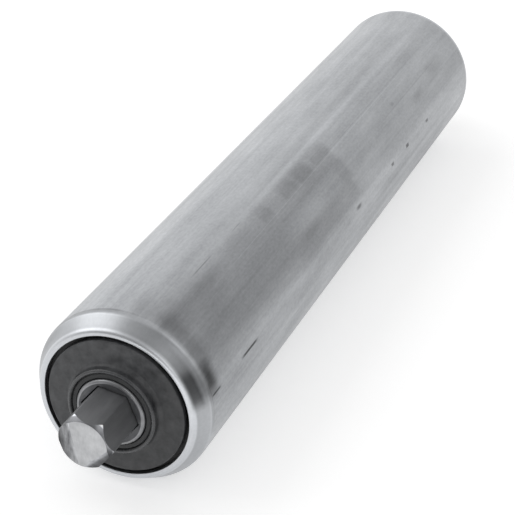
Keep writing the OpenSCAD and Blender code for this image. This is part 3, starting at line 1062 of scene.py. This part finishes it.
@dataclass
class Bearing:
    """One end's ball bearing and the sleeve in its bore."""

    rings: BallRing
    end: End
    balls: int = 9
    ball: float = 3.97
    pitch: float = 19.25
    depth: float = 16.0
    sleeve: float = 12.45
    nose: float = -4.27
    crown: float = 1.2
    ease: float = 0.4
    flange: float = 14.6
    flange_at: float = 23.55
    sleeve_end: float = 26.0
    edge: float = 0.12
    bore: Hexagon = Hexagon(18.26, 0.45)

    def ball_set(self) -> None:
        """Sets the balls in their cage."""
        name = self.end.node("ball_row")
        mesh = self.rings.make(name, {"Count": self.balls, "Ball": self.ball * MM, "Pitch": self.pitch * MM,
                                      "Place": self.end.x(self.depth) * MM, "Material": BEARING_GROUND.material()})
        placed(name, mesh, self.end.node("ball_set"), self.end.node("balls"))

    def turned_sleeve(self) -> None:
        """Builds the sleeve: turned outside, with a broached hexagon inside."""
        outline = [
            (self.nose + self.edge, 0.0), (self.nose, self.edge),
            *arc((self.nose + self.crown, self.sleeve - self.crown), self.crown, 180, 90, 10),
            (self.flange_at, self.sleeve), (self.flange_at, self.flange),
            (self.sleeve_end - self.ease, self.flange), (self.sleeve_end, self.flange - self.ease),
            (self.sleeve_end, self.edge), (self.sleeve_end - self.edge, 0.0),
        ]
        # a radius of no more than the edge's counts from the hexagon
        rows = [[(self.end.x(d), r + (r <= self.edge) * self.bore.radius(a)) for a in DIRECTIONS] for d, r in outline]
        name = self.end.node("sleeve_turning")
        mesh = ringed(name, rows, self.bore.turn, loop=True)
        for finish in (SLEEVE_TURNED, SLEEVE_EDGE):
            mesh.materials.append(finish.material())
        # what faces neither along the axis nor away from it is a rounded edge, which takes the nose's finish with its
        # painted highlight
        for face in mesh.polygons:
            face.material_index = int(0.2 < abs(face.normal.x) < 0.999)
        close_up(mesh, sharp=25.0)
        placed(name, mesh, "core", self.end.node("sleeve"))

    def build(self) -> None:
        """Builds the balls and the sleeve."""
        self.ball_set()
        self.turned_sleeve()


@dataclass(frozen=True)
class Cut:
    """A slanted cut across the axle's near end.

    Attributes:
        at: Its distance off the axis at the end face.
        slope: How far it leans back from the end face, in degrees.
        turn: Its direction from +Y towards +Z, in degrees.
        finish: What it leaves behind.
    """

    at: float
    slope: float
    turn: float
    finish: Finish


@dataclass
class Axle:
    """The hexagonal axle with its chamfered ends and its spring."""

    coil: Coil
    half: float = 178.25
    face: float = 8.55
    rim: tuple[Point, ...] = ((0.0, 8.35), (0.0, 8.5), (0.04, 8.55))
    chamfer: float = 2.45
    bar: Hexagon = Hexagon(17.46, 0.35)
    spans: tuple[float, ...] = (-175.4, -155.5, -124.9, -60.0)
    cuts: tuple[Cut, ...] = (Cut(3.3, 7.0, -10.2, AXLE_DRESSED), Cut(6.0, 24.0, -132.4, AXLE_NICKED))
    finishes: tuple[Finish, ...] = (AXLE_DRAWN, AXLE_GROUND, AXLE_DRESSED, AXLE_CHAMFER, AXLE_NICKED)
    pins: tuple[float, ...] = (-124.9, 61.6)
    pin_hole: float = 2.05
    drill: float = 26.0
    spring_from: float = 66.2
    spring: float = 62.0
    spring_mean: float = 12.75
    wire: float = 1.0
    turns: float = 9.0
    closed_pitch: float = 2.12

    def bar_mesh(self) -> Mesh:
        """Builds the bar, chamfered at both ends.

        Returns:
            The bar.
        """
        slope = (self.bar.flats / 2 / math.cos(math.radians(30)) - self.face) / self.chamfer
        sides = [self.bar.radius(a) for a in DIRECTIONS]
        near = [
            *([(-self.half + d, r)] * len(sides) for d, r in self.rim),
            [(-self.half + (r - self.face) / slope, r) for r in sides],
            *([(x, r) for r in sides] for x in self.spans),
        ]
        far = [[(-x, r) for x, r in ring] for ring in reversed(near)]
        return ringed("axle_bar", near + far, self.bar.turn, loop=False)

    def dressed(self, mesh: Mesh) -> None:
        """Cuts the near end as it was dressed, and gives every face its finish.

        Args:
            mesh: The bar.
        """
        with edited(mesh) as work:
            bmesh.ops.recalc_face_normals(work, faces=work.faces)
            # sides, end faces and chamfers, by how far they face along the axis
            for face in work.faces:
                along = abs(face.normal.x)
                finish = AXLE_DRAWN if along < 0.3 else AXLE_GROUND if along > 0.95 else AXLE_CHAMFER
                face.material_index = self.finishes.index(finish)
            for cut in self.cuts:
                out, lean = across(cut.turn), math.radians(cut.slope)
                split = bmesh.ops.bisect_plane(
                    work, geom=[*work.verts, *work.edges, *work.faces], dist=1e-7, clear_outer=True,
                    plane_co=(Vector((-self.half, 0, 0)) + cut.at * out) * MM,
                    plane_no=math.sin(lean) * out - Vector((math.cos(lean), 0, 0)))
                edges = [e for e in split["geom_cut"] if isinstance(e, bmesh.types.BMEdge)]
                for face in bmesh.ops.contextual_create(work, geom=edges)["faces"]:
                    face.material_index = self.finishes.index(cut.finish)

    def drilled(self, mesh: Mesh) -> Mesh:
        """Drills the holes of the bar's two cross pins.

        Args:
            mesh: The bar.

        Returns:
            The drilled bar.
        """
        drill = bpy.data.meshes.new("drill")
        way = across(self.bar.turn + 30).to_track_quat("Z", "X").to_matrix().to_4x4()
        with edited(drill) as work:
            for x in self.pins:
                made = bmesh.ops.create_cone(work, cap_ends=True, segments=32, radius1=self.pin_hole * MM,
                                             radius2=self.pin_hole * MM, depth=self.drill * MM, matrix=way)
                bmesh.ops.translate(work, verts=made["verts"], vec=(x * MM, 0, 0))
        bar, tool = linked("bar", mesh), linked("tool", drill)
        step = bar.modifiers.new("drill", "BOOLEAN")
        step.operation, step.object, step.solver = "DIFFERENCE", tool, "EXACT"
        out = plain(bar)
        bpy.data.objects.remove(tool)
        return out

    def build(self) -> None:
        """Builds the bar and the spring on it."""
        mesh = self.bar_mesh()
        self.dressed(mesh)
        for finish in self.finishes:
            mesh.materials.append(finish.material())
        mesh = self.drilled(mesh)
        close_up(mesh, sharp=12.0)
        placed("axle_bar", mesh, "axle", "axle")
        wound = self.coil.make("spring_coil", {
            "Start": self.spring_from * MM, "Length": self.spring * MM, "Mean": self.spring_mean * MM,
            "Wire": self.wire * MM, "Turns": self.turns, "Closed pitch": self.closed_pitch * MM,
            "Material": SPRING_WIRE.material()})
        close_up(wound, sharp=50.0)
        spring = placed("spring_coil", wound, "axle", "spring")
        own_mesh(spring)


@dataclass
class Studio:
    """The pale floor, the soft lamps, the white surround and the camera."""

    floor_z: float = -31.75
    floor_x: Point = (-900.0, 900.0)
    floor_y: Point = (-230.0, 900.0)
    eye: Triple = (-527.3, -203.5, 290.7)
    look: Triple = (0.8071, 0.3333, -0.4873)
    lens: float = 109.47
    ambient: float = 0.6
    glow: float = 0.45
    bright_side: Triple = (0.8, 0.6, 0.0)
    bright: float = 1.3
    walls: tuple[Point, ...] = ((-1.0, 0.56), (-0.75, 0.12), (-0.55, 0.28), (0.1, 0.55), (0.45, 0.69), (0.9, 0.97))

    def floor(self) -> None:
        """Lays the pale floor, which keeps the roller's shadow."""
        mesh = bpy.data.meshes.new("floor")
        corners = [(x * MM, y * MM, self.floor_z * MM) for x in self.floor_x for y in self.floor_y]
        mesh.from_pydata(corners, [], [(0, 2, 3, 1)])
        # matt white paper, which glows a little so that it stays white under the roller
        paper = bpy.data.materials.new("matt white paper")
        paper.use_nodes = True
        tree = paper.node_tree
        shader = tree.nodes["Principled BSDF"]
        fill(shader, {"Base Color": linear("#E8E8E8"), "Roughness": 0.9, "Specular IOR Level": 0.0})
        path = add(tree, "ShaderNodeLightPath").outputs
        seen = add(tree, MATH, path["Is Camera Ray"], path["Is Glossy Ray"], operation="MAXIMUM")
        seen = add(tree, MATH, seen, path["Is Transmission Ray"], operation="MAXIMUM")
        share = add(tree, MATH, seen, self.glow, operation="MULTIPLY")
        glow = add(tree, "ShaderNodeEmission", {"Strength": share})
        fill(tree.nodes["Material Output"], {"Surface": add(tree, "ShaderNodeAddShader", shader, glow)})
        mesh.materials.append(paper)
        linked("floor", mesh)

    def surround(self) -> None:
        """Sets the soft grey surround, which the camera sees as white."""
        world = bpy.context.scene.world or bpy.data.worlds.new("surround")
        bpy.context.scene.world = world
        world.use_nodes = True
        tree = world.node_tree
        tree.nodes.clear()
        path = add(tree, "ShaderNodeLightPath").outputs
        toward = add(tree, "ShaderNodeTexCoord").outputs["Generated"]
        side = add(tree, VECTOR, toward, self.bright_side, operation="DOT_PRODUCT").outputs["Value"]
        ramp = ramped(tree, add(tree, RANGE, side, -1.0), [((at + 1) / 2, level) for at, level in self.walls])
        walls = add(tree, MATH, ramp, self.bright, operation="MULTIPLY")
        mirrored = add(tree, MATH, path["Is Glossy Ray"], path["Is Transmission Ray"], operation="MAXIMUM")
        shown = add(tree, MIX, {0: mirrored, 2: self.ambient, 3: walls})
        level = add(tree, MIX, {0: path["Is Camera Ray"], 2: shown, 3: 1.0})
        back = add(tree, "ShaderNodeBackground", {"Color": (1, 1, 1, 1), "Strength": level})
        add(tree, "ShaderNodeOutputWorld", back)

    def lamp(self, name: str, at: Sequence[float], size: Sequence[float], power: float) -> None:
        """Hangs a softbox that faces the roller.

        Args:
            name: The lamp's name.
            at: Its place in metres.
            size: Its width and height in metres.
            power: Its power in watts.
        """
        light = bpy.data.lights.new(name, "AREA")
        light.shape, light.size, light.size_y, light.energy = "RECTANGLE", size[0], size[1], power
        box = linked(name, light)
        box.location = at
        box.rotation_euler = Vector(at).to_track_quat("Z", "Y").to_euler()

    def camera(self) -> None:
        """Sets the camera above and beside the near end, looking along the roller."""
        lens = bpy.data.cameras.new("camera")
        lens.lens, lens.sensor_width, lens.clip_start = self.lens, 36.0, 0.01
        camera = linked("camera", lens)
        camera.location = Vector(self.eye) * MM
        camera.rotation_euler = Vector(self.look).to_track_quat("-Z", "Y").to_euler()
        bpy.context.scene.camera = camera

    def build(self) -> None:
        """Sets up the floor, the surround, the lamps and the camera."""
        bpy.context.scene.view_settings.view_transform = "Standard"
        self.floor()
        self.surround()
        self.lamp("key softbox", (-0.1, 1.25, 1.3), (1.8, 1.4), 9)
        self.lamp("side softbox", (0.6, -0.9, 1.35), (0.9, 0.8), 1)
        self.lamp("near softbox", (-1.2, -1.1, 1.2), (1.0, 1.0), 3)
        self.camera()


def carry_over() -> None:
    """Gives each solid that stays its real finish."""
    for name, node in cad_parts.items():
        finish = CARRIED.get(name.removeprefix("left_").removeprefix("right_"))
        if finish and not node.hide_render:
            node.data.materials.clear()
            node.data.materials.append(finish.material())
            for index in range(len(node.material_slots)):
                node.material_slots[index].material = finish.material()
            log.info("%s: solid kept, %s", name, finish.name)


def main() -> None:
    """Builds the roller's sub-assemblies and the studio, in order."""
    logging.basicConfig(level=logging.INFO, format="%(message)s")
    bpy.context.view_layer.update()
    lathe, rings, coil = Turning(), BallRing(), Coil()
    Tube(lathe).build()
    for end in End:
        Closure(lathe, end).build()
        Bearing(rings, end).build()
    Axle(coil).build()
    carry_over()
    Studio().build()


if __name__ == "__main__":
    main()
